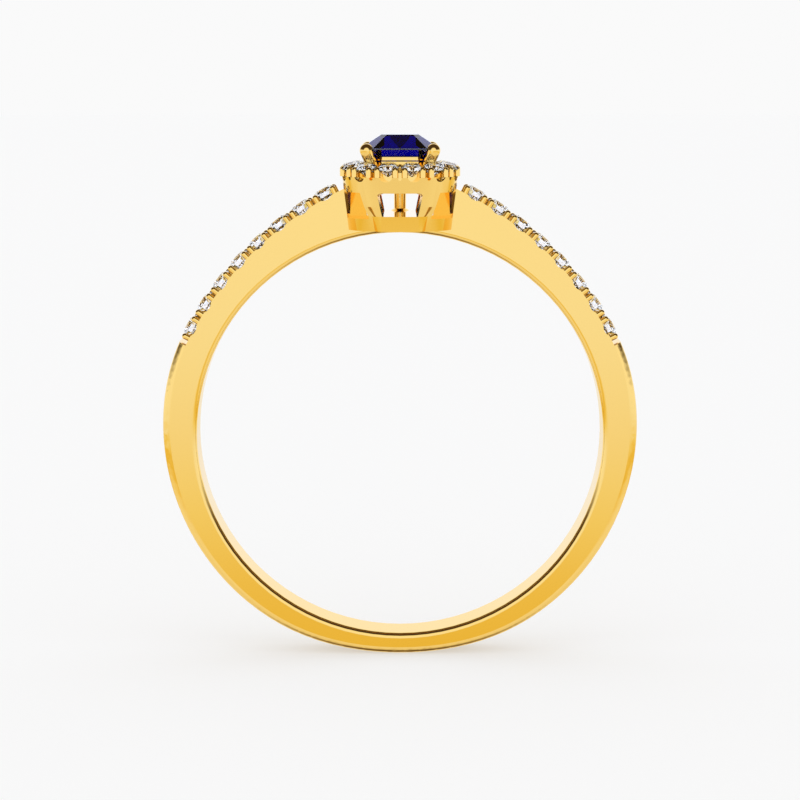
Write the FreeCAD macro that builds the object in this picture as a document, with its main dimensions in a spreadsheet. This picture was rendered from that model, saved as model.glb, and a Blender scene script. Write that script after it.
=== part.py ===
import FreeCAD, Part
import math
import os

import Sketcher

# Engagement ring with a cathedral shank, a halo head and a step-cut centre stone.
# Frame: origin at the centre of the finger bore, +Y along the bore, +Z up to the centre stone, millimetres.
# The ring is symmetric left to right, and front to back apart from the post in the rear window.

Vector = FreeCAD.Vector
Rotation = FreeCAD.Rotation
Placement = FreeCAD.Placement
UP = Vector(0, 0, 1)
ALONG_BORE = Vector(0, 1, 0)

SIZES = [
    # shank
    ("bore_radius", 8.25, "inside of the band"),
    ("band_width", 1.7, "band, along the bore"),
    ("outer_edge_round", 0.3, "round on the band's outer edges"),
    ("inner_edge_round", 0.2, "round on the bore's edges"),
    ("wall_at_bottom", 0.88, "band thickness straight down"),
    ("wall_low", 1.06, "band thickness one station up"),
    ("wall_flank", 1.195, "band thickness two stations up"),
    ("wall_side", 1.345, "band thickness three stations up"),
    ("wall_at_tail", 1.45, "band thickness where the stones begin"),
    ("tail_angle", 23.4, "start of the stones, degrees above horizontal"),
    ("shoulder_centre_x", 3.77, "centre of the shoulder's arc, past the middle of the bore"),
    ("shoulder_centre_z", -2.51, "height of that centre"),
    ("shoulder_radius", 14.19, "arc through the tops of the shoulder beads"),
    ("shelf_depth", 0.32, "metal shelf below the bead tops"),
    ("scallop_radius", 0.42, "U cut beside each shoulder stone"),
    ("scallop_depth", 0.4, "lowest point of that cut below the bead tops"),
    ("rail_top", 8.38, "flat top of the finger rail under the head"),
    ("head_side_low", 2.11, "half-width of the head at its waist"),
    ("head_side_slope", 0.124, "how much the head's sides lean out per unit of height"),
    ("shoulder_end_height", 10.0, "top of the shoulder where it meets the head"),
    # shoulder stones and beads
    ("shoulder_stones", 8, "stones on each shoulder"),
    ("shoulder_first_angle", 118.9, "first stone's angle about the shoulder's centre"),
    ("shoulder_step_angle", 4.51, "angle from stone to stone"),
    ("shoulder_stone_diameter", 1.0, "shoulder stone"),
    ("shoulder_girdle_depth", 0.11, "girdle below the bead tops"),
    ("shoulder_bead_radius", 0.12, "shoulder bead"),
    ("shoulder_bead_pair", 0.16, "half the distance between the two beads of a pair"),
    ("shoulder_bead_side", 0.67, "bead's distance from the band's middle"),
    # head: lobed outlines at the foot, the waist, the middle and the top
    ("foot_height", 8.38, "underside of the head base"),
    ("waist_height", 8.97, "top of the head base"),
    ("middle_height", 9.35, "where the gallery wall starts to lean out less"),
    ("wall_top_height", 10.5, "top of the gallery wall"),
    ("foot_front", 2.32, "half-length at the foot"),
    ("foot_flat", 0.74, "half of the flat front at the foot"),
    ("foot_crease_x", 0.98, "crease between the lobes at the foot"),
    ("foot_crease_y", 2.02, "its distance to the front"),
    ("waist_front", 2.4, "half-length at the waist"),
    ("waist_flat", 0.73, "half of the flat front at the waist"),
    ("waist_crease_x", 1.08, "crease at the waist"),
    ("waist_crease_y", 2.08, "its distance to the front"),
    ("middle_front", 2.55, "half-length at the middle"),
    ("middle_flat", 0.76, "half of the flat front at the middle"),
    ("middle_crease_x", 1.27, "crease at the middle"),
    ("middle_crease_y", 2.2, "its distance to the front"),
    ("top_front", 3.0, "half-length at the top"),
    ("top_flat", 0.81, "half of the flat front at the top"),
    ("top_crease_x", 1.47, "crease at the top"),
    ("top_crease_y", 2.6, "its distance to the front"),
    ("head_side_length", 0.95, "half-length of the head's flat sides"),
    ("foot_lobe_radius", 1.2, "front lobe's round at the foot"),
    ("waist_lobe_radius", 1.2, "front lobe's round at the waist and middle"),
    ("top_lobe_radius", 1.3, "front lobe's round at the top"),
    ("low_corner_radius", 1.5, "corner lobe's round below the top"),
    ("top_corner_radius", 2.0, "corner lobe's round at the top"),
    ("rim_thickness", 0.3, "gallery wall round the halo plate"),
    ("cavity_low_half_width", 1.33, "hollow of the gallery at the waist"),
    ("cavity_low_half_length", 2.05, "its half-length"),
    ("cavity_low_corner", 0.7, "its corner cut"),
    ("cavity_high_half_width", 1.38, "hollow of the gallery under the halo plate"),
    ("cavity_high_half_length", 2.5, "its half-length"),
    ("cavity_high_corner", 0.7, "its corner cut"),
    # windows of the gallery
    ("window_top_height", 9.86, "head of the front and rear windows"),
    ("window_top_half", 0.83, "half-width at the head, outside"),
    ("window_sill_half", 0.7, "half-width at the sill, outside"),
    ("window_splay", 0.1, "how much narrower the window is inside"),
    ("window_corner", 0.1, "round in the window's corners"),
    ("window_reach", 1.2, "how deep the front and rear cuts go from the head's ends"),
    ("corner_window_width", 1.3, "corner window, along the wall"),
    ("corner_window_low", 8.86, "sill of the corner windows"),
    ("corner_window_high", 9.9, "head of the corner windows"),
    ("corner_window_x", 1.8, "middle of the corner window's outside"),
    ("corner_window_y", 1.62, "its distance to the front"),
    ("corner_window_angle", 35, "which way the window faces, degrees from the head's side to its front"),
    ("corner_window_depth", 0.62, "cut, from outside the wall inward"),
    ("post_radius", 0.25, "rear post"),
    ("post_depth", 0.12, "its middle, inside the wall's outer face"),
    ("post_length", 1.05, "rear post, up to inside the window's head"),
    ("post_root", 0.15, "rear post below the waist, before it is trimmed"),
    ("post_foot_radius", 0.38, "flared foot of the rear post"),
    ("post_foot_height", 0.08, "height of that foot"),
    # halo
    ("halo_half_width", 1.97, "line of the halo stones, to the side"),
    ("halo_half_length", 2.6, "line of the halo stones, to the front"),
    ("halo_corner", 1.85, "corner radius of that line"),
    ("halo_stones", 16, "stones in the halo"),
    ("halo_stone_diameter", 0.87, "halo stone"),
    ("halo_girdle_height", 10.86, "girdle of the halo stones"),
    ("halo_tilt", 12, "outward lean of the halo stones, degrees"),
    ("halo_scallop_radius", 0.27, "U cut in the wall beside each halo stone"),
    ("halo_scallop_low", 10.33, "lowest point of that cut"),
    ("halo_slot_radius", 0.07, "narrow slot in the wall between two beads of a pair"),
    ("halo_slot_low", 10.38, "lowest point of the slot"),
    ("halo_bead_radius", 0.12, "halo bead"),
    ("halo_bead_top", 10.9, "top of the outer halo beads"),
    ("halo_inner_bead_top", 10.98, "top of the inner halo beads"),
    ("halo_bead_pair", 0.185, "half the distance between the two beads of a pair"),
    ("halo_bead_out", 0.29, "outer beads' distance outside the line of stones"),
    ("halo_bead_in", 0.42, "inner beads' distance inside the line of stones"),
    ("plate_low", 10.36, "underside of the halo plate"),
    ("plate_high", 10.68, "top of the halo plate"),
    ("plate_opening_half_width", 0.8, "opening for the centre stone's pavilion"),
    ("plate_opening_corner", 0.3, "its corner cut"),
    ("collar_top", 11.09, "top of the collar under the seat rail"),
    ("collar_half_width", 1.22, "outside of the collar"),
    ("collar_inside", 1.08, "inside of the collar"),
    ("collar_corner", 0.5, "corner cut of the collar"),
    # centre stone: cut-corner outlines from the table down to the keel
    ("stone_height", 11.58, "girdle of the centre stone"),
    ("table_half_width", 0.73, "table"),
    ("table_level", 0.55, "table above the girdle"),
    ("upper_step_half_width", 0.94, "first crown step"),
    ("upper_step_level", 0.42, "its height above the girdle"),
    ("lower_step_half_width", 1.16, "second crown step"),
    ("lower_step_level", 0.27, "its height above the girdle"),
    ("girdle_half_width", 1.5, "widest outline"),
    ("girdle_half_thickness", 0.03, "half of the girdle's band"),
    ("upper_pavilion_half_width", 1.15, "first pavilion step"),
    ("upper_pavilion_level", -0.4, "its height"),
    ("lower_pavilion_half_width", 0.62, "second pavilion step"),
    ("lower_pavilion_level", -0.88, "its height"),
    ("keel_half_width", 0.04, "keel"),
    ("keel_level", -1.28, "its height"),
    ("stone_extra_length", 0.5, "half-length minus half-width, at every level"),
    ("corner_share", 0.3, "corner cut as a share of the half-width"),
    # seat rail and claws
    ("seat_rail_half_width", 1.32, "outside of the seat rail"),
    ("seat_rail_inside", 0.95, "inside of the seat rail"),
    ("seat_rail_low", 11.14, "underside of the seat rail"),
    ("seat_rail_high", 11.27, "top of the seat rail"),
    ("seat_rail_corner", 0.62, "corner cut of the seat rail"),
    ("claw_foot_x", 0.97, "foot of each claw"),
    ("claw_foot_y", 1.56, "its distance to the front"),
    ("claw_foot_height", 10.55, "its height"),
    ("claw_tip_x", 1.31, "centre of the claw's round tip"),
    ("claw_tip_y", 1.81, "its distance to the front"),
    ("claw_tip_height", 11.53, "its height"),
    ("claw_foot_radius", 0.19, "claw at the foot"),
    ("claw_tip_radius", 0.27, "claw at the tip"),
]

# Proportions of a round brilliant, as shares of its diameter.
BRILLIANT_TABLE = 0.56
BRILLIANT_CROWN = 0.15
BRILLIANT_GIRDLE = 0.03
BRILLIANT_PAVILION = 0.43

# How far a stone's seat stays open above its girdle, how deep the beads' roots go below the metal
# before they are trimmed, and how far the cutting tools reach past the metal.
SEAT_OPENING_HEIGHT = 0.6
BEAD_ROOT = 0.06
CUT_OVERRUN = 1.0

doc = FreeCAD.newDocument("EngagementRing")
sheet = doc.addObject("Spreadsheet::Sheet", "Sizes")
for row, (alias, value, note) in enumerate(SIZES, start=1):
    sheet.set(f"A{row}", note)
    sheet.set(f"B{row}", str(value))
    sheet.setAlias(f"B{row}", alias)
doc.recompute()


class Size:
    """A length and the sheet expression that gives it, so a sketch is drawn and bound in one step."""

    def __init__(self, value, text):
        self.value = value
        self.text = text

    def __neg__(self):
        return Size(-self.value, f"-({self.text})")

    def __add__(self, other):
        return Size(self.value + other.value, f"({self.text} + {other.text})")

    def __sub__(self, other):
        return Size(self.value - other.value, f"({self.text} - {other.text})")

    def __mul__(self, other):
        return Size(self.value * other.value, f"({self.text} * {other.text})")


ZERO = Size(0.0, "0")
HALF = Size(0.5, "0.5")


def cell(alias):
    """The named cell, as a Size."""
    return Size(float(getattr(sheet, alias)), f"Sizes.{alias}")


def number(alias):
    """The named cell's plain number."""
    return float(getattr(sheet, alias))


def bind(thing, prop, length):
    """Ties a property to the sheet."""
    thing.setExpression(prop, length.text)


def new_body(label):
    body = doc.addObject("PartDesign::Body", label)
    body.Label = label
    return body


def new_sketch(body, name, plane, level=None):
    """A sketch on one of the body's own origin planes, lifted along the plane's normal by level."""
    sketch = body.newObject("Sketcher::SketchObject", name)
    face = [item for item in body.Origin.OriginFeatures if item.Role == plane][0]
    sketch.AttachmentSupport = [(face, "")]
    sketch.MapMode = "FlatFace"
    if level is not None:
        bind(sketch, ".AttachmentOffset.Base.z", level)
    return sketch


def fix_point(sketch, edge, end, corner):
    """Holds one end of an edge at a corner, both coordinates tied to the sheet."""
    for axis, length in zip(("DistanceX", "DistanceY"), corner):
        index = sketch.addConstraint(Sketcher.Constraint(axis, -1, 1, edge, end, length.value))
        sketch.setExpression(f"Constraints[{index}]", length.text)


def draw_outline(sketch, corners, rounds=None):
    """Joins the corners, counter-clockwise; an edge named in rounds bulges outward with that radius."""
    rounds = rounds or {}
    points = [Vector(x.value, y.value, 0) for x, y in corners]
    count = len(points)
    edges = []
    for i, start in enumerate(points):
        end = points[(i + 1) % count]
        if i not in rounds:
            edges.append(sketch.addGeometry(Part.LineSegment(start, end)))
            continue
        radius = rounds[i].value
        chord = end - start
        outward = Vector(chord.y, -chord.x, 0).normalize()
        rise = radius - math.sqrt(radius**2 - (chord.Length / 2) ** 2)
        middle = (start + end) * 0.5 + outward * rise
        edges.append(sketch.addGeometry(Part.Arc(start, middle, end)))
    for i, edge in enumerate(edges):
        sketch.addConstraint(Sketcher.Constraint("Coincident", edge, 2, edges[(i + 1) % count], 1))
        fix_point(sketch, edge, 1, corners[i])
        if i in rounds:
            index = sketch.addConstraint(Sketcher.Constraint("Radius", edge, rounds[i].value))
            sketch.setExpression(f"Constraints[{index}]", rounds[i].text)


def cut_corner_outline(half_width, half_length, cut):
    """Corners of a rectangle with cut corners, counter-clockwise from the front right."""
    quarter = [(half_width - cut, half_length), (half_width, half_length - cut)]
    right = [(x, -y) for x, y in quarter] + [(x, y) for x, y in reversed(quarter)]
    return right + [(-x, y) for x, y in reversed(right)]


def loft(body, name, kind, sketches, ruled):
    feature = body.newObject(kind, name)
    feature.Profile = sketches[0]
    feature.Sections = sketches[1:]
    feature.Ruled = ruled
    for sketch in sketches:
        sketch.Visibility = False
    return feature


def pad_between(body, name, corners, low, high, rounds=None):
    """A prism on a horizontal outline, from low to high."""
    sketch = new_sketch(body, f"{name}_outline", "XY_Plane", low)
    draw_outline(sketch, corners, rounds)
    pad = body.newObject("PartDesign::Pad", name)
    pad.Profile = sketch
    bind(pad, "Length", high - low)
    return pad


def pocket_between(body, name, corners, low, high, rounds=None):
    """Takes a prism on a horizontal outline away, from low to high."""
    sketch = new_sketch(body, f"{name}_outline", "XY_Plane", low)
    draw_outline(sketch, corners, rounds)
    pocket = body.newObject("PartDesign::Pocket", name)
    pocket.Profile = sketch
    pocket.Reversed = True
    bind(pocket, "Length", high - low)
    return pocket


def revolve(body, sketch, name):
    """Turns a profile about its sketch's vertical axis."""
    turned = body.newObject("PartDesign::Revolution", name)
    turned.Profile = sketch
    turned.ReferenceAxis = (sketch, ["V_Axis"])
    turned.Angle = 360
    return turned


def helper_shape(name, shape):
    """A cutting tool that no single primitive gives, kept out of the exported sub-parts."""
    tool = doc.addObject("Part::Feature", name)
    tool.Shape = shape
    return tool


def group(name, members):
    """Several objects as one cutting tool."""
    compound = doc.addObject("Part::Compound", name)
    compound.Links = members
    return compound


def cut_from(label, base, tool):
    """The sub-part that is left when a tool is taken from a base."""
    cut = doc.addObject("Part::Cut", label)
    cut.Label = label
    cut.Base = base
    cut.Tool = tool
    return cut


# ---------------------------------------------------------------- places of the small stones


def shoulder_place(side, step):
    """Frame on the arc of bead tops, step stones on from the first: local +Z points out of the band."""
    angle = math.radians(number("shoulder_first_angle") + step * number("shoulder_step_angle"))
    outward = Vector(math.cos(angle), 0, math.sin(angle))
    centre = Vector(number("shoulder_centre_x"), 0, number("shoulder_centre_z"))
    point = centre + outward * number("shoulder_radius")
    if side == "right":
        point.x, outward.x = -point.x, -outward.x
    along = ALONG_BORE.cross(outward)
    return Placement(point, Rotation(along, ALONG_BORE, outward, "ZXY"))


def halo_place(step):
    """Frame on the line of halo stones, step stones round from the front: local +Y points outward."""
    radius = number("halo_corner")
    straight_front = number("halo_half_width") - radius
    straight_side = number("halo_half_length") - radius
    arc = radius * math.pi / 2
    quarter = straight_front + arc + straight_side
    pitch = 4 * quarter / number("halo_stones")
    run = (step * pitch) % (4 * quarter)
    flip_x = run > 2 * quarter
    if flip_x:
        run = 4 * quarter - run
    flip_y = run > quarter
    if flip_y:
        run = 2 * quarter - run
    if run < straight_front:
        turn, x, y = 0.0, run, straight_side + radius
    elif run < straight_front + arc:
        turn = (run - straight_front) / radius
        x = straight_front + radius * math.sin(turn)
        y = straight_side + radius * math.cos(turn)
    else:
        turn, x, y = math.pi / 2, straight_front + radius, quarter - run
    outward = Vector(math.sin(turn), -math.cos(turn), 0)
    point = Vector(x, -y, number("halo_girdle_height"))
    if flip_x:
        point.x, outward.x = -point.x, -outward.x
    if flip_y:
        point.y, outward.y = -point.y, -outward.y
    return Placement(point, Rotation(outward.cross(UP), outward, UP, "ZXY"))


def shifted(place, x, y, z):
    """A frame moved within its own axes."""
    return place.multiply(Placement(Vector(x, y, z), Rotation()))


HALO_COUNT = int(number("halo_stones"))
SHOULDER_COUNT = int(number("shoulder_stones"))
halo_tilt = Rotation(Vector(1, 0, 0), -number("halo_tilt"))
halo_stone_places = [
    halo_place(step + 0.5).multiply(Placement(Vector(), halo_tilt)) for step in range(HALO_COUNT)
]
halo_gap_places = [halo_place(step) for step in range(HALO_COUNT)]
shoulder_stone_places = {
    side: [
        shifted(shoulder_place(side, step), 0, 0, -number("shoulder_girdle_depth"))
        for step in range(SHOULDER_COUNT)
    ]
    for side in ("left", "right")
}


# ---------------------------------------------------------------- round stones, seats and beads


def round_stone(label, diameter, place):
    """A round brilliant as its plain turned envelope, girdle at the local origin."""
    body = new_body(label)
    sketch = new_sketch(body, f"{label}_profile", "XZ_Plane")

    def share(part):
        return Size(part, str(part)) * diameter

    half_girdle = share(BRILLIANT_GIRDLE / 2)
    draw_outline(
        sketch,
        [
            (ZERO, -(half_girdle + share(BRILLIANT_PAVILION))),
            (share(0.5), -half_girdle),
            (share(0.5), half_girdle),
            (share(BRILLIANT_TABLE / 2), half_girdle + share(BRILLIANT_CROWN)),
            (ZERO, half_girdle + share(BRILLIANT_CROWN)),
        ],
    )
    revolve(body, sketch, f"{label}_turned")
    body.Placement = place
    return body


def seat_tool(diameter, place):
    """Room for one stone: its pavilion cone, then a straight way out above the girdle."""
    radius = diameter / 2
    low = -diameter * (BRILLIANT_GIRDLE / 2 + BRILLIANT_PAVILION)
    high = -diameter * BRILLIANT_GIRDLE / 2
    cone = Part.makeCone(0, radius, high - low, Vector(0, 0, low))
    way_out = Part.makeCylinder(radius, SEAT_OPENING_HEIGHT, Vector(0, 0, high))
    tool = cone.fuse(way_out)
    tool.Placement = place
    return tool


def bead(radius, height, place):
    """A small round-topped post that ends at the local origin's height."""
    post = Part.makeCylinder(radius, height - radius, Vector(0, 0, -height))
    dome = Part.makeSphere(radius, Vector(0, 0, -radius))
    solid = post.fuse(dome).removeSplitter()
    solid.Placement = place
    return solid


# ---------------------------------------------------------------- shank


def shank_outline_points():
    """Corners of the band's side view on its right half, from the tail of the stones to the finger rail."""
    centre = Vector(-number("shoulder_centre_x"), number("shoulder_centre_z"), 0)
    shelf = number("shoulder_radius") - number("shelf_depth")
    tail_radius = number("bore_radius") + number("wall_at_tail")
    tail_angle = math.radians(number("tail_angle"))
    tail = Vector(tail_radius * math.cos(tail_angle), tail_radius * math.sin(tail_angle), 0)
    shelf_start = centre + (tail - centre).normalize() * shelf
    slope = number("head_side_slope")
    side_at_zero = number("head_side_low") - slope * number("waist_height")
    end_x = side_at_zero + slope * number("shoulder_end_height")
    shelf_end_y = centre.y + math.sqrt(shelf**2 - (end_x - centre.x) ** 2)
    shelf_end = Vector(side_at_zero + slope * shelf_end_y, shelf_end_y, 0)
    shelf_end = centre + (shelf_end - centre).normalize() * shelf
    rail_end = Vector(side_at_zero + slope * number("rail_top"), number("rail_top"), 0)
    return tail, shelf_start, shelf_end, rail_end, centre


def mirrored(point):
    return Vector(-point.x, point.y, 0)


def lower_band_curve(tail):
    """The band's outer edge below the stones: a smooth curve through five thickness stations a side."""
    walls = ["wall_at_bottom", "wall_low", "wall_flank", "wall_side"]
    sweep = (90 + number("tail_angle")) / len(walls)
    right = []
    for station, alias in enumerate(walls):
        angle = math.radians(-90 + station * sweep)
        radius = number("bore_radius") + number(alias)
        right.append(Vector(radius * math.cos(angle), radius * math.sin(angle), 0))
    right.append(tail)
    curve = Part.BSplineCurve()
    curve.interpolate([mirrored(point) for point in reversed(right)] + right[1:])
    return curve


def arc_about(centre, start, end):
    """The arc from start to end about a centre, counter-clockwise."""
    middle = centre + ((start + end) * 0.5 - centre).normalize() * (start - centre).Length
    return Part.Arc(start, middle, end)


def draw_bore(sketch):
    """The bore as a right and a left half circle, joined on the vertical centre line."""
    radius = cell("bore_radius")
    circle = Part.Circle(Vector(), Vector(0, 0, 1), radius.value)
    quarter = math.pi / 2
    for start in (-quarter, quarter):
        half = sketch.addGeometry(Part.ArcOfCircle(circle, start, start + 2 * quarter))
        sketch.addConstraint(Sketcher.Constraint("Coincident", half, 3, -1, 1))
        sketch.addConstraint(Sketcher.Constraint("PointOnObject", half, 1, -2))
        sketch.addConstraint(Sketcher.Constraint("PointOnObject", half, 2, -2))
        index = sketch.addConstraint(Sketcher.Constraint("Radius", half, radius.value))
        sketch.setExpression(f"Constraints[{index}]", radius.text)


def make_shank_blank():
    """Band, shoulders and finger rail in one, before the stones' seats are cut."""
    body = new_body("shank_blank")
    sketch = new_sketch(body, "shank_side_view", "XZ_Plane")
    tail, shelf_start, shelf_end, rail_end, centre = shank_outline_points()
    loop = [
        Part.LineSegment(tail, shelf_start),
        arc_about(centre, shelf_start, shelf_end),
        Part.LineSegment(shelf_end, rail_end),
        Part.LineSegment(rail_end, mirrored(rail_end)),
        Part.LineSegment(mirrored(rail_end), mirrored(shelf_end)),
        arc_about(mirrored(centre), mirrored(shelf_end), mirrored(shelf_start)),
        Part.LineSegment(mirrored(shelf_start), mirrored(tail)),
        lower_band_curve(tail),
    ]
    for edge in loop:
        sketch.addGeometry(edge)
    draw_bore(sketch)
    pad = body.newObject("PartDesign::Pad", "shank_pad")
    pad.Profile = sketch
    pad.Midplane = True
    bind(pad, "Length", cell("band_width"))
    doc.recompute()

    def edges_of(base, wanted):
        return [f"Edge{i}" for i, edge in enumerate(base.Shape.Edges, start=1) if wanted(edge)]

    outer = body.newObject("PartDesign::Fillet", "outer_edges")
    outer.Base = (pad, edges_of(pad, lambda edge: isinstance(edge.Curve, Part.BSplineCurve)))
    bind(outer, "Radius", cell("outer_edge_round"))
    doc.recompute()
    inner = body.newObject("PartDesign::Fillet", "bore_edges")
    bore_radius = number("bore_radius")
    inner.Base = (
        outer,
        edges_of(
            outer,
            lambda edge: isinstance(edge.Curve, Part.Circle) and abs(edge.Curve.Radius - bore_radius) < 1e-6,
        ),
    )
    bind(inner, "Radius", cell("inner_edge_round"))
    return body


def shoulder_cut_tools():
    """Seats and U cuts of the 16 shoulder stones."""
    tools = []
    across = number("band_width") + 2 * CUT_OVERRUN
    radius = number("scallop_radius")
    for side in ("left", "right"):
        for step in range(SHOULDER_COUNT):
            tools.append(seat_tool(number("shoulder_stone_diameter"), shoulder_stone_places[side][step]))
            scallop = Part.makeCylinder(
                radius, across, Vector(0, -across / 2, radius - number("scallop_depth")), ALONG_BORE
            )
            scallop.Placement = shoulder_place(side, step)
            tools.append(scallop)
    return Part.Compound(tools)


def shoulder_bead_shape(side):
    """Pairs of beads between the stones, and single ones at both ends of the row, on both edges."""
    height = number("shelf_depth") + BEAD_ROOT
    pair = number("shoulder_bead_pair")
    beads = []
    for step in range(SHOULDER_COUNT + 1):
        gap = shoulder_place(side, step - 0.5)
        towards_tail = pair if side == "right" else -pair
        offsets = [towards_tail, -towards_tail]
        if step == 0:
            offsets = offsets[:1]
        if step == SHOULDER_COUNT:
            offsets = offsets[1:]
        for offset in offsets:
            for edge in (-1, 1):
                place = shifted(gap, offset, edge * number("shoulder_bead_side"), 0)
                beads.append(bead(number("shoulder_bead_radius"), height, place))
    return Part.Compound(beads)


# ---------------------------------------------------------------- head


def head_side(height):
    """Half-width of the head at a height."""
    return cell("head_side_low") + cell("head_side_slope") * (height - cell("waist_height"))


def lobed_outline(level, height, inset=ZERO):
    """Outline of the head: a front and a rear lobe, four corner lobes and flat sides."""
    flat = cell(f"{level}_flat") - inset * HALF
    front = cell(f"{level}_front") - inset
    crease_x = cell(f"{level}_crease_x") - inset * HALF
    crease_y = cell(f"{level}_crease_y") - inset
    side = head_side(height) - inset
    side_length = cell("head_side_length") - inset * HALF
    right_front = [(flat, -front), (crease_x, -crease_y), (side, -side_length)]
    right = right_front + [(x, -y) for x, y in reversed(right_front)]
    return right + [(-x, y) for x, y in reversed(right)]


def lobed_rounds(lobe, corner):
    """Which edges of the lobed outline are round: front lobe, corner lobe, and so on round the head."""
    return {0: lobe, 1: corner, 3: corner, 4: lobe, 6: lobe, 7: corner, 9: corner, 10: lobe}


def plate_outline():
    """The halo plate's edge, and the recess in the gallery wall that takes it."""
    outline = lobed_outline("top", cell("plate_low"), cell("rim_thickness"))
    return outline, lobed_rounds(cell("top_lobe_radius"), cell("top_corner_radius"))


def lobed_section(body, name, level):
    """A sketch of the head's outline at one of its levels."""
    height = cell("wall_top_height" if level == "top" else f"{level}_height")
    lobe = cell(f"{level}_lobe_radius" if level in ("foot", "top") else "waist_lobe_radius")
    corner = cell("top_corner_radius" if level == "top" else "low_corner_radius")
    sketch = new_sketch(body, name, "XY_Plane", height)
    rounds = lobed_rounds(lobe, corner)
    draw_outline(sketch, lobed_outline(level, height), rounds)
    return sketch


def corner_window_tools():
    """Four upright blocks that open the corner lobes."""
    width = number("corner_window_width")
    depth = number("corner_window_depth")
    low = number("corner_window_low")
    height = number("corner_window_high") - low
    block = Part.makeBox(depth + CUT_OVERRUN, width, height, Vector(-depth, -width / 2, low))
    blocks = []
    for x_sign in (-1, 1):
        for y_sign in (-1, 1):
            facing = math.degrees(math.atan2(y_sign, x_sign))
            lean = number("corner_window_angle") - 45
            facing += lean * x_sign * y_sign
            place = Placement(
                Vector(x_sign * number("corner_window_x"), y_sign * number("corner_window_y"), 0),
                Rotation(UP, facing),
            )
            turned = block.copy()
            turned.Placement = place
            blocks.append(turned)
    return Part.Compound(blocks)


def wall_cut_tool(place, radius, lowest):
    """A level U cut from the line of halo stones outward through the wall, open at the top."""
    centre_low = lowest + radius - number("halo_girdle_height")
    rise = CUT_OVERRUN - centre_low
    round_part = Part.makeCylinder(radius, CUT_OVERRUN, Vector(0, 0, centre_low), ALONG_BORE)
    open_part = Part.makeBox(2 * radius, CUT_OVERRUN, rise, Vector(-radius, 0, centre_low))
    tool = round_part.fuse(open_part)
    tool.Placement = place
    return tool


def halo_wall_tools():
    """The U cut beside each halo stone, and the narrow slot between the beads of each pair."""
    scallop_radius, scallop_low = number("halo_scallop_radius"), number("halo_scallop_low")
    slot_radius, slot_low = number("halo_slot_radius"), number("halo_slot_low")
    tools = []
    for step in range(HALO_COUNT):
        tools.append(wall_cut_tool(halo_place(step + 0.5), scallop_radius, scallop_low))
        tools.append(wall_cut_tool(halo_gap_places[step], slot_radius, slot_low))
    return tools


def halo_seat_tools():
    return [seat_tool(number("halo_stone_diameter"), place) for place in halo_stone_places]


def make_head_base():
    body = new_body("head_base_blank")
    sections = [lobed_section(body, f"base_{level}", level) for level in ("foot", "waist")]
    loft(body, "base_loft", "PartDesign::AdditiveLoft", sections, True)
    return body


def window_section(body, name, outward, splay):
    """Outline of the front and rear windows in a plane across the bore."""
    sketch = new_sketch(body, name, "XZ_Plane", outward)
    top = cell("window_top_half") - splay
    sill = cell("window_sill_half") - splay
    low = cell("waist_height") - cell("window_splay")
    high = cell("window_top_height") - splay * HALF
    corner = cell("window_corner")
    right = [(sill - corner, low), (sill, low + corner), (top, high - corner), (top - corner, high)]
    draw_outline(
        sketch,
        right + [(-x, z) for x, z in reversed(right)],
        {edge: corner for edge in (0, 2, 4, 6)},
    )
    return sketch


def make_gallery_blank():
    """The lobed wall with its front and rear windows."""
    body = new_body("gallery_blank")
    outside = [
        lobed_section(body, f"gallery_outside_{level}", level) for level in ("waist", "middle", "top")
    ]
    loft(body, "gallery_outside", "PartDesign::AdditiveLoft", outside, True)
    hollow = []
    for end, height in (("low", cell("waist_height")), ("high", cell("plate_low"))):
        sketch = new_sketch(body, f"cavity_{end}", "XY_Plane", height)
        corners = [cell(f"cavity_{end}_{part}") for part in ("half_width", "half_length", "corner")]
        draw_outline(sketch, cut_corner_outline(*corners))
        hollow.append(sketch)
    loft(body, "cavity", "PartDesign::SubtractiveLoft", hollow, True)
    recess, recess_rounds = plate_outline()
    pocket_between(body, "plate_recess", recess, cell("plate_low"), cell("wall_top_height"), recess_rounds)
    far = cell("top_front")
    near = far - cell("window_reach")
    for name, sign in (("front", 1), ("rear", -1)):
        out_far, out_near = (far, near) if sign > 0 else (-far, -near)
        sections = [
            window_section(body, f"{name}_window_outside", out_far, -cell("window_splay")),
            window_section(body, f"{name}_window_inside", out_near, cell("window_splay")),
        ]
        loft(body, f"{name}_window", "PartDesign::SubtractiveLoft", sections, True)
    return body


def make_rear_post_blank():
    """Round upright in the middle of the rear window, on a flared foot."""
    body = new_body("rear_post_blank")
    sketch = new_sketch(body, "post_profile", "XZ_Plane")
    radius, foot = cell("post_radius"), cell("post_foot_radius")
    low = -cell("post_root")
    knee = cell("post_foot_height")
    high = cell("post_length")
    flare = [(ZERO, low), (foot, low), (foot, ZERO)]
    draw_outline(sketch, flare + [(radius, knee), (radius, high), (ZERO, high)])
    revolve(body, sketch, "post_turned")
    middle = Vector(0, number("waist_front") - number("post_depth"), number("waist_height"))
    body.Placement = Placement(middle, Rotation())
    return body


def make_halo_plate_blank():
    """Plate inside the gallery wall, open under the centre stone, with a collar below the seat rail."""
    body = new_body("halo_plate_blank")
    low, high, collar_top = cell("plate_low"), cell("plate_high"), cell("collar_top")
    outline, rounds = plate_outline()
    pad_between(body, "plate", outline, low, high, rounds)

    def outline_round_stone(half_width, corner):
        width = cell(half_width)
        return cut_corner_outline(width, width + cell("stone_extra_length"), cell(corner))

    collar = outline_round_stone("collar_half_width", "collar_corner")
    collar_inside = outline_round_stone("collar_inside", "collar_corner")
    opening = outline_round_stone("plate_opening_half_width", "plate_opening_corner")
    pad_between(body, "collar", collar, high, collar_top)
    pocket_between(body, "collar_opening", collar_inside, high, collar_top)
    pocket_between(body, "plate_opening", opening, low, high)
    return body


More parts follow.
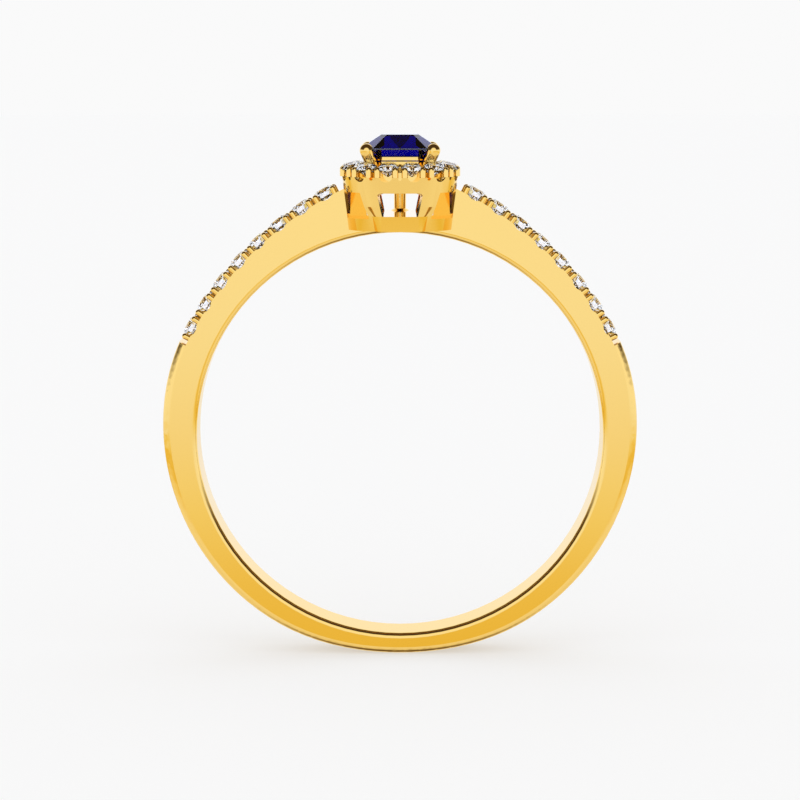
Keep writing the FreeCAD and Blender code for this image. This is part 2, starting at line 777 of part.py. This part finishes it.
def halo_bead_shape():
    """Pairs of beads on the wall's top outside each gap, and one bead on the plate inside it."""
    outer_top = number("halo_bead_top") - number("halo_girdle_height")
    inner_top = number("halo_inner_bead_top") - number("halo_girdle_height")
    outer_height = number("halo_bead_top") - number("wall_top_height")
    inner_height = number("halo_inner_bead_top") - number("plate_high") + BEAD_ROOT
    radius = number("halo_bead_radius")
    beads = []
    for gap in halo_gap_places:
        for offset in (-number("halo_bead_pair"), number("halo_bead_pair")):
            place = shifted(gap, offset, number("halo_bead_out"), outer_top)
            beads.append(bead(radius, outer_height, place))
        place = shifted(gap, 0, -number("halo_bead_in"), inner_top)
        beads.append(bead(radius, inner_height, place))
    return Part.Compound(beads)


# ---------------------------------------------------------------- centre stone and its setting


def make_centre_stone():
    """Step-cut stone: flat facets between cut-corner outlines, from the keel up to the table."""
    body = new_body("centre_sapphire")
    levels = [
        ("keel", cell("keel_half_width"), cell("keel_level")),
        ("lower_pavilion", cell("lower_pavilion_half_width"), cell("lower_pavilion_level")),
        ("upper_pavilion", cell("upper_pavilion_half_width"), cell("upper_pavilion_level")),
        ("girdle_below", cell("girdle_half_width"), -cell("girdle_half_thickness")),
        ("girdle_above", cell("girdle_half_width"), cell("girdle_half_thickness")),
        ("lower_step", cell("lower_step_half_width"), cell("lower_step_level")),
        ("upper_step", cell("upper_step_half_width"), cell("upper_step_level")),
        ("table", cell("table_half_width"), cell("table_level")),
    ]
    sections = []
    for name, half_width, level in levels:
        sketch = new_sketch(body, f"stone_{name}", "XY_Plane", level + cell("stone_height"))
        cut = half_width * cell("corner_share")
        draw_outline(sketch, cut_corner_outline(half_width, half_width + cell("stone_extra_length"), cut))
        sections.append(sketch)
    loft(body, "stone_facets", "PartDesign::AdditiveLoft", sections, True)
    return body


def make_seat_rail_blank():
    body = new_body("seat_rail_blank")
    low, high = cell("seat_rail_low"), cell("seat_rail_high")
    extra = cell("stone_extra_length")
    outside = cell("seat_rail_half_width")
    inside = cell("seat_rail_inside")
    corner = cell("seat_rail_corner")
    pad_between(body, "rail", cut_corner_outline(outside, outside + extra, corner), low, high)
    pocket_between(body, "rail_opening", cut_corner_outline(inside, inside + extra, corner), low, high)
    return body


def make_claw_blank(label, x_sign, y_sign):
    """A leaning post that widens to a round tip."""
    body = new_body(label)
    foot = Vector(x_sign * number("claw_foot_x"), y_sign * number("claw_foot_y"), number("claw_foot_height"))
    tip = Vector(x_sign * number("claw_tip_x"), y_sign * number("claw_tip_y"), number("claw_tip_height"))
    length = Size((tip - foot).Length, str((tip - foot).Length))
    sketch = new_sketch(body, f"{label}_profile", "XZ_Plane")
    foot_radius, tip_radius = cell("claw_foot_radius"), cell("claw_tip_radius")
    draw_outline(
        sketch,
        [(ZERO, ZERO), (foot_radius, ZERO), (tip_radius, length), (ZERO, length + tip_radius)],
        {2: tip_radius},
    )
    revolve(body, sketch, f"{label}_turned")
    body.Placement = Placement(foot, Rotation(UP, tip - foot))
    return body


# ---------------------------------------------------------------- assembly

shank = cut_from("shank", make_shank_blank(), helper_shape("shoulder_cuts", shoulder_cut_tools()))
centre_stone = make_centre_stone()

corner_windows = helper_shape("corner_windows", corner_window_tools())
head_base = cut_from("head_base", make_head_base(), corner_windows)
halo_seats = helper_shape("halo_seats", Part.Compound(halo_seat_tools()))
halo_wall_cuts = helper_shape("halo_wall_cuts", Part.Compound(halo_wall_tools()))
gallery_cuts = group("gallery_cuts", [corner_windows, halo_wall_cuts, halo_seats])
gallery_wall = cut_from("gallery_wall", make_gallery_blank(), gallery_cuts)
rear_post = cut_from("rear_post", make_rear_post_blank(), group("post_cuts", [head_base, gallery_wall]))
plate_cuts = group("plate_cuts", [halo_wall_cuts, halo_seats, centre_stone])
halo_plate = cut_from("halo_plate", make_halo_plate_blank(), plate_cuts)
halo_diamonds = [
    round_stone(f"halo_diamond_{i:02d}", cell("halo_stone_diameter"), place)
    for i, place in enumerate(halo_stone_places, start=1)
]

claw_cuts = group("claw_cuts", [centre_stone, halo_plate] + halo_diamonds)
claw_blanks = []
claws = []
for end, y_sign in (("front", -1), ("rear", 1)):
    for side, x_sign in (("left", -1), ("right", 1)):
        label = f"claw_{end}_{side}"
        claw_blanks.append(make_claw_blank(f"{label}_blank", x_sign, y_sign))
        claws.append(cut_from(label, claw_blanks[-1], claw_cuts))
seat_rail_cuts = group("seat_rail_cuts", [centre_stone] + claw_blanks)
seat_rail = cut_from("seat_rail", make_seat_rail_blank(), seat_rail_cuts)

halo_bead_cuts = group("halo_bead_cuts", [halo_plate] + claws + halo_diamonds)
halo_beads = cut_from("halo_beads", helper_shape("raw_halo_beads", halo_bead_shape()), halo_bead_cuts)

sub_parts = [shank, head_base, gallery_wall, rear_post, halo_plate, seat_rail, centre_stone]
sub_parts += claws + [halo_beads] + halo_diamonds
for side in ("left", "right"):
    raw_beads = helper_shape(f"{side}_raw_beads", shoulder_bead_shape(side))
    sub_parts.append(cut_from(f"{side}_shoulder_beads", raw_beads, shank))
    sub_parts += [
        round_stone(f"{side}_shoulder_diamond_{i}", cell("shoulder_stone_diameter"), place)
        for i, place in enumerate(shoulder_stone_places[side], start=1)
    ]
doc.recompute()

for item in doc.Objects:
    if any(word in item.State for word in ("Invalid", "Error")):
        raise RuntimeError(f"{item.Name} failed: {item.State}")
for item in sub_parts:
    if item.Shape.isNull() or not item.Shape.isValid() or not item.Shape.Solids:
        raise RuntimeError(f"{item.Label} has no valid solid")
os.makedirs("parts", exist_ok=True)
for item in sub_parts:
    item.Shape.exportStep(f"parts/{item.Label}.step")
    print(f"{item.Label}: {len(item.Shape.Solids)} solids, {item.Shape.Volume:.4f} mm3")
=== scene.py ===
import math
import random

import bmesh
import bpy
import numpy as np
from mathutils import Matrix, Vector


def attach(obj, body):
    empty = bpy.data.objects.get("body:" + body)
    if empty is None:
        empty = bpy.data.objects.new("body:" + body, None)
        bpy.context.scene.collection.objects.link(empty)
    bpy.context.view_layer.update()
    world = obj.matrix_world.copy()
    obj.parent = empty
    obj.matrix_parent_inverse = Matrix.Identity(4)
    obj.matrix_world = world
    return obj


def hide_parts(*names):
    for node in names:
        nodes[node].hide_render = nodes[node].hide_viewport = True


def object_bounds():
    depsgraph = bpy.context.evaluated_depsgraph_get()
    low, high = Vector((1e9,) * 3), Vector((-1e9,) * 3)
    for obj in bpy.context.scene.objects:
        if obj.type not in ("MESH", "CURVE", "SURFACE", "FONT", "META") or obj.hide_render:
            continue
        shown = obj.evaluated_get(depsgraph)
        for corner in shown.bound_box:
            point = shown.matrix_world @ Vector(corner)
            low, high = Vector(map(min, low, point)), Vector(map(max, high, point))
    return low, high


# Engagement ring: polished yellow gold, round diamonds and a step-cut sapphire.
# Everything is in metres in the model's own frame: bore along Y, centre stone up.

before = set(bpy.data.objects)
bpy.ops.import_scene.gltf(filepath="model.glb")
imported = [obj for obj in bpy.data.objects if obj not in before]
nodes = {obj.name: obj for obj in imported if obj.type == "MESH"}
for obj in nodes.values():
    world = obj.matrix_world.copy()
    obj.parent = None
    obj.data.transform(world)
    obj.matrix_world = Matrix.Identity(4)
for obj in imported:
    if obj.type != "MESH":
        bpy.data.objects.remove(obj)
cad_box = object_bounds()

MM = 0.001

# Brightness of the backdrop, and of the light that brings a floor of this albedo to the same level.
BACKGROUND = 0.955
FLOOR_ALBEDO = 0.93
FLOOR_LIGHT = BACKGROUND / FLOOR_ALBEDO
# Share of the floor's brightness that a shadow can take away; the floor gives off the rest itself.
FLOOR_SHADE = 0.5
FLOOR_SIZE = 6.0
# How much brighter the studio is for light that has come through a stone.
SPARKLE = 1.3

# The studio by elevation in degrees: dark below, warm a little under the horizon, white above it.
SKY_STOPS = [
    (-90, (0.10, 0.06, 0.03)),
    (-72, (0.35, 0.28, 0.18)),
    (-55, (0.86, 0.80, 0.66)),
    (-30, (0.93, 0.90, 0.80)),
    (-21, (0.90, 0.80, 0.50)),
    (-17, (0.83, 0.63, 0.14)),
    (-14.5, (0.86, 0.70, 0.25)),
    (-12.3, (0.91, 0.84, 0.52)),
    (-10, (0.93, 0.91, 0.86)),
    (-7, (0.96, 1.0, 1.12)),
    (0, (1.0, 1.03, 1.12)),
    (90, (1.05, 1.05, 1.05)),
]
# The brown flag in front: how strong it is by elevation, and by angle towards -Y.
FLAG_COLOUR = (0.07, 0.045, 0.03)
FLAG_BY_ELEVATION = [(0, 0.0), (14, 1.0), (90, 1.0)]
FLAG_TOWARDS_FRONT = [(-44, 0.0), (-34, 1.0), (42, 1.0), (50, 0.0), (90, 0.0)]

# Proportions of a round brilliant, as shares of its diameter.
HALF_GIRDLE = 0.015
TABLE_RADIUS = 0.28
CROWN_HEIGHT = 0.15
STAR_RADIUS, STAR_HEIGHT = 0.395, 0.085
PAVILION_DEPTH = 0.43
HALF_FACET_RADIUS, HALF_FACET_DEPTH = 0.10, 0.345
MAIN_FACETS = 8
GIRDLE_POINTS = 2 * MAIN_FACETS
# The faceted stone is a hair smaller than the turned envelope that it replaces.
STONE_SHARE = 0.995
# Two facets face the same way above this cosine; points this close to the widest radius are on the girdle.
SAME_WAY = 0.99995
ON_GIRDLE = 0.999

random.seed(7)


# ---------------------------------------------------------------- materials


def new_material(name):
    """A material with its node tree and its main shader."""
    material = bpy.data.materials.new(name)
    material.use_nodes = True
    tree = material.node_tree
    shader = tree.nodes["Principled BSDF"]
    return material, tree, shader


def object_noise(tree, scale, detail):
    """Procedural noise in the object's own coordinates; scale is in cycles per metre."""
    coordinates = tree.nodes.new("ShaderNodeTexCoord")
    noise = tree.nodes.new("ShaderNodeTexNoise")
    noise.inputs["Scale"].default_value = scale
    noise.inputs["Detail"].default_value = detail
    tree.links.new(coordinates.outputs["Object"], noise.inputs["Vector"])
    return noise


def map_range(tree, source, low, high):
    """A value between 0 and 1, brought between low and high."""
    node = tree.nodes.new("ShaderNodeMapRange")
    node.inputs["To Min"].default_value = low
    node.inputs["To Max"].default_value = high
    tree.links.new(source, node.inputs["Value"])
    return node.outputs["Result"]


def vary_roughness(tree, shader, scale, detail, low, high):
    """Uneven polish: roughness wanders between low and high."""
    noise = object_noise(tree, scale, detail)
    tree.links.new(map_range(tree, noise.outputs["Fac"], low, high), shader.inputs["Roughness"])


def gold_material():
    """Polished 18 karat yellow gold with a faint polishing haze."""
    material, tree, shader = new_material("polished_gold")
    shader.inputs["Metallic"].default_value = 1.0
    shader.inputs["Base Color"].default_value = (1.0, 0.70, 0.22, 1.0)
    vary_roughness(tree, shader, scale=900.0, detail=3.0, low=0.05, high=0.10)
    ripple = object_noise(tree, 350.0, 1.0)
    bump = tree.nodes.new("ShaderNodeBump")
    bump.inputs["Strength"].default_value = 0.01
    bump.inputs["Distance"].default_value = 0.01 * MM
    tree.links.new(ripple.outputs["Fac"], bump.inputs["Height"])
    tree.links.new(bump.outputs["Normal"], shader.inputs["Normal"])
    return material


def diamond_material():
    """Clear colourless stone."""
    material, tree, shader = new_material("white_diamond")
    shader.inputs["Base Color"].default_value = (0.97, 0.98, 1.0, 1.0)
    shader.inputs["Transmission Weight"].default_value = 1.0
    shader.inputs["IOR"].default_value = 2.42
    vary_roughness(tree, shader, scale=2500.0, detail=2.0, low=0.0, high=0.02)
    return material


def sapphire_material():
    """Clear blue stone that absorbs light in its depth, so the longer the path, the darker the blue."""
    material, tree, shader = new_material("blue_sapphire")
    shader.inputs["Transmission Weight"].default_value = 1.0
    shader.inputs["IOR"].default_value = 1.77
    zoning = object_noise(tree, 600.0, 2.0)
    ramp = tree.nodes.new("ShaderNodeValToRGB")
    ramp.color_ramp.elements[0].color = (0.16, 0.24, 1.0, 1.0)
    ramp.color_ramp.elements[1].color = (0.22, 0.32, 1.0, 1.0)
    tree.links.new(zoning.outputs["Fac"], ramp.inputs["Fac"])
    tree.links.new(ramp.outputs["Color"], shader.inputs["Base Color"])
    vary_roughness(tree, shader, scale=2500.0, detail=2.0, low=0.0, high=0.02)
    absorption = tree.nodes.new("ShaderNodeVolumeAbsorption")
    absorption.inputs["Color"].default_value = (0.0, 0.01, 0.82, 1.0)
    absorption.inputs["Density"].default_value = 2500.0
    tree.links.new(absorption.outputs["Volume"], tree.nodes["Material Output"].inputs["Volume"])
    return material


GOLD = gold_material()
DIAMOND = diamond_material()
SAPPHIRE = sapphire_material()


def set_material(thing, material):
    thing.data.materials.clear()
    thing.data.materials.append(material)


# ---------------------------------------------------------------- round brilliants


def brilliant_mesh(name, diameter):
    """A 57-facet round brilliant, girdle at the origin, table up."""
    half_girdle = HALF_GIRDLE * diameter
    crown_top = half_girdle + CROWN_HEIGHT * diameter
    star_level = half_girdle + STAR_HEIGHT * diameter
    half_facet_level = -half_girdle - HALF_FACET_DEPTH * diameter
    culet_level = -half_girdle - PAVILION_DEPTH * diameter
    bm = bmesh.new()

    def ring(count, radius, level, turn):
        """Corners evenly round the axis, the first one turn girdle points on."""
        points = []
        for i in range(count):
            angle = (turn + i * GIRDLE_POINTS / count) * 2 * math.pi / GIRDLE_POINTS
            points.append(bm.verts.new((radius * math.cos(angle), radius * math.sin(angle), level)))
        return points

    table_ring = ring(MAIN_FACETS, TABLE_RADIUS * diameter, crown_top, 0)
    star_ring = ring(MAIN_FACETS, STAR_RADIUS * diameter, star_level, 1)
    top_girdle = ring(GIRDLE_POINTS, diameter / 2, half_girdle, 0)
    low_girdle = ring(GIRDLE_POINTS, diameter / 2, -half_girdle, 0)
    half_ring = ring(MAIN_FACETS, HALF_FACET_RADIUS * diameter, half_facet_level, 1)
    culet = bm.verts.new((0, 0, culet_level))
    bm.faces.new(table_ring)
    for i in range(MAIN_FACETS):
        after = (i + 1) % MAIN_FACETS
        main, halfway, next_main = 2 * i, 2 * i + 1, (2 * i + 2) % GIRDLE_POINTS
        bm.faces.new((table_ring[i], star_ring[i], table_ring[after]))
        bm.faces.new((table_ring[i], star_ring[i - 1], top_girdle[main], star_ring[i]))
        bm.faces.new((star_ring[i], top_girdle[main], top_girdle[halfway]))
        bm.faces.new((star_ring[i], top_girdle[halfway], top_girdle[next_main]))
        bm.faces.new((half_ring[i], low_girdle[halfway], low_girdle[main]))
        bm.faces.new((half_ring[i], low_girdle[next_main], low_girdle[halfway]))
        bm.faces.new((culet, half_ring[i - 1], low_girdle[main], half_ring[i]))
    for i in range(GIRDLE_POINTS):
        after = (i + 1) % GIRDLE_POINTS
        bm.faces.new((top_girdle[i], low_girdle[i], low_girdle[after], top_girdle[after]))
    bmesh.ops.recalc_face_normals(bm, faces=bm.faces)
    mesh = bpy.data.meshes.new(name)
    bm.to_mesh(mesh)
    bm.free()
    return mesh


def turned_frame(node):
    """Centre of the girdle, axis towards the table, and diameter of a round stone's CAD envelope."""
    mesh = nodes[node].data
    normals = np.array([p.normal for p in mesh.polygons], float)
    areas = np.array([p.area for p in mesh.polygons], float)
    centres = np.array([p.center for p in mesh.polygons], float)
    area_facing_alike = (normals @ normals.T > SAME_WAY) @ areas
    table = normals @ normals[area_facing_alike.argmax()] > SAME_WAY
    axis = (normals[table] * areas[table, None]).sum(0)
    axis /= np.linalg.norm(axis)
    table_centre = (centres[table] * areas[table, None]).sum(0) / areas[table].sum()
    points = np.array([v.co for v in mesh.vertices], float) - table_centre
    heights = points @ axis
    radii = np.linalg.norm(points - np.outer(heights, axis), axis=1)
    girdle = radii > ON_GIRDLE * radii.max()
    girdle_height = (heights[girdle].max() + heights[girdle].min()) / 2
    return Vector(table_centre + axis * girdle_height), Vector(axis), 2 * radii.max()


def place_diamond(node):
    """Puts a faceted stone in place of a turned envelope, with its own twist about the axis."""
    name = f"cut_{node}"
    centre, axis, diameter = turned_frame(node)
    stone = bpy.data.objects.new(name, brilliant_mesh(name, diameter * STONE_SHARE))
    bpy.context.scene.collection.objects.link(stone)
    upright = axis.to_track_quat("Z", "Y").to_matrix().to_4x4()
    twist = Matrix.Rotation(random.uniform(0, 2 * math.pi / MAIN_FACETS), 4, "Z")
    stone.matrix_world = Matrix.Translation(centre) @ upright @ twist
    set_material(stone, DIAMOND)
    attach(stone, "root")
    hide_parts(node)


for node in sorted(nodes):
    if "diamond" in node:
        place_diamond(node)
    elif node == "centre_sapphire":
        set_material(nodes[node], SAPPHIRE)
    else:
        set_material(nodes[node], GOLD)


# ---------------------------------------------------------------- floor, light and camera


def make_floor(level):
    """Pale matt floor that the metal and the stones don't reflect or refract."""
    bpy.ops.mesh.primitive_plane_add(size=FLOOR_SIZE, location=(0, 0, level))
    floor = bpy.context.object
    floor.name = "studio_floor"
    material, _, shader = new_material("pale_floor")
    albedo = FLOOR_ALBEDO * FLOOR_SHADE
    shader.inputs["Base Color"].default_value = (albedo, albedo, albedo, 1.0)
    shader.inputs["Emission Color"].default_value = (1.0, 1.0, 1.0, 1.0)
    shader.inputs["Emission Strength"].default_value = BACKGROUND * (1 - FLOOR_SHADE)
    shader.inputs["Roughness"].default_value = 1.0
    shader.inputs["Specular IOR Level"].default_value = 0.0
    set_material(floor, material)
    floor.visible_glossy = False
    floor.visible_transmission = False


def grey(level):
    return (level, level, level)


def by_angle(tree, sine, stops):
    """Colour or grey level by an angle in degrees, given the angle's sine."""
    position = tree.nodes.new("ShaderNodeMapRange")
    position.inputs["From Min"].default_value = -1.0
    tree.links.new(sine, position.inputs["Value"])
    ramp = tree.nodes.new("ShaderNodeValToRGB")
    elements = ramp.color_ramp.elements
    elements.remove(elements[-1])
    for i, (angle, value) in enumerate(stops):
        place = (math.sin(math.radians(angle)) + 1) / 2
        element = elements[0] if i == 0 else elements.new(place)
        element.position = place
        colour = value if isinstance(value, tuple) else grey(value)
        element.color = (*colour, 1.0)
    tree.links.new(position.outputs["Result"], ramp.inputs["Fac"])
    return ramp.outputs["Color"]


def product(tree, first, second):
    """Two values multiplied; the second may be a plain number."""
    node = tree.nodes.new("ShaderNodeMath")
    node.operation = "MULTIPLY"
    tree.links.new(first, node.inputs[0])
    if isinstance(second, float):
        node.inputs[1].default_value = second
    else:
        tree.links.new(second, node.inputs[1])
    return node.outputs["Value"]


def mix(tree, factor, first, second):
    """The first colour where the factor is 0, the second where it is 1; a colour may be a socket."""
    node = tree.nodes.new("ShaderNodeMix")
    node.data_type = "RGBA"
    tree.links.new(factor, node.inputs["Factor"])
    for socket, value in (("A", first), ("B", second)):
        if isinstance(value, tuple):
            node.inputs[socket].default_value = (*value, 1.0)
        else:
            tree.links.new(value, node.inputs[socket])
    return node.outputs["Result"]


def make_world():
    """Soft studio light by elevation, with a brown flag high in front that edges the metal."""
    world = bpy.data.worlds.new("studio")
    bpy.context.scene.world = world
    world.use_nodes = True
    tree = world.node_tree
    direction = tree.nodes.new("ShaderNodeTexCoord")
    split = tree.nodes.new("ShaderNodeSeparateXYZ")
    tree.links.new(direction.outputs["Generated"], split.inputs["Vector"])

    sky = by_angle(tree, split.outputs["Z"], SKY_STOPS)
    flag_height = by_angle(tree, split.outputs["Z"], FLAG_BY_ELEVATION)
    flag_width = by_angle(tree, product(tree, split.outputs["Y"], -1.0), FLAG_TOWARDS_FRONT)
    studio = mix(tree, product(tree, flag_height, flag_width), sky, FLAG_COLOUR)

    bright_sky = tree.nodes.new("ShaderNodeVectorMath")
    bright_sky.operation = "SCALE"
    bright_sky.inputs["Scale"].default_value = SPARKLE
    tree.links.new(sky, bright_sky.inputs[0])

    ray = tree.nodes.new("ShaderNodeLightPath")
    through_stones = mix(tree, ray.outputs["Is Transmission Ray"], studio, bright_sky.outputs["Vector"])
    lit = mix(tree, ray.outputs["Is Diffuse Ray"], through_stones, grey(FLOOR_LIGHT))
    seen = mix(tree, ray.outputs["Is Camera Ray"], lit, grey(BACKGROUND))
    tree.links.new(seen, tree.nodes["Background"].inputs["Color"])


def make_camera():
    """Camera in front of the ring and a little above it, looking slightly down."""
    distance, elevation, pitch = 77.4 * MM, math.radians(10.0), math.radians(9.0)
    data = bpy.data.cameras.new("camera")
    data.lens = 85.0
    data.sensor_width = 36.0
    data.clip_start = 1.0 * MM
    data.clip_end = 20.0
    camera = bpy.data.objects.new("camera", data)
    bpy.context.scene.collection.objects.link(camera)
    camera.location = (0, -distance * math.cos(elevation), distance * math.sin(elevation))
    camera.rotation_euler = (math.pi / 2 - pitch, 0, 0)
    bpy.context.scene.camera = camera


make_floor(cad_box[0][2])
make_world()
make_camera()
bpy.context.scene.view_settings.view_transform = "Standard"
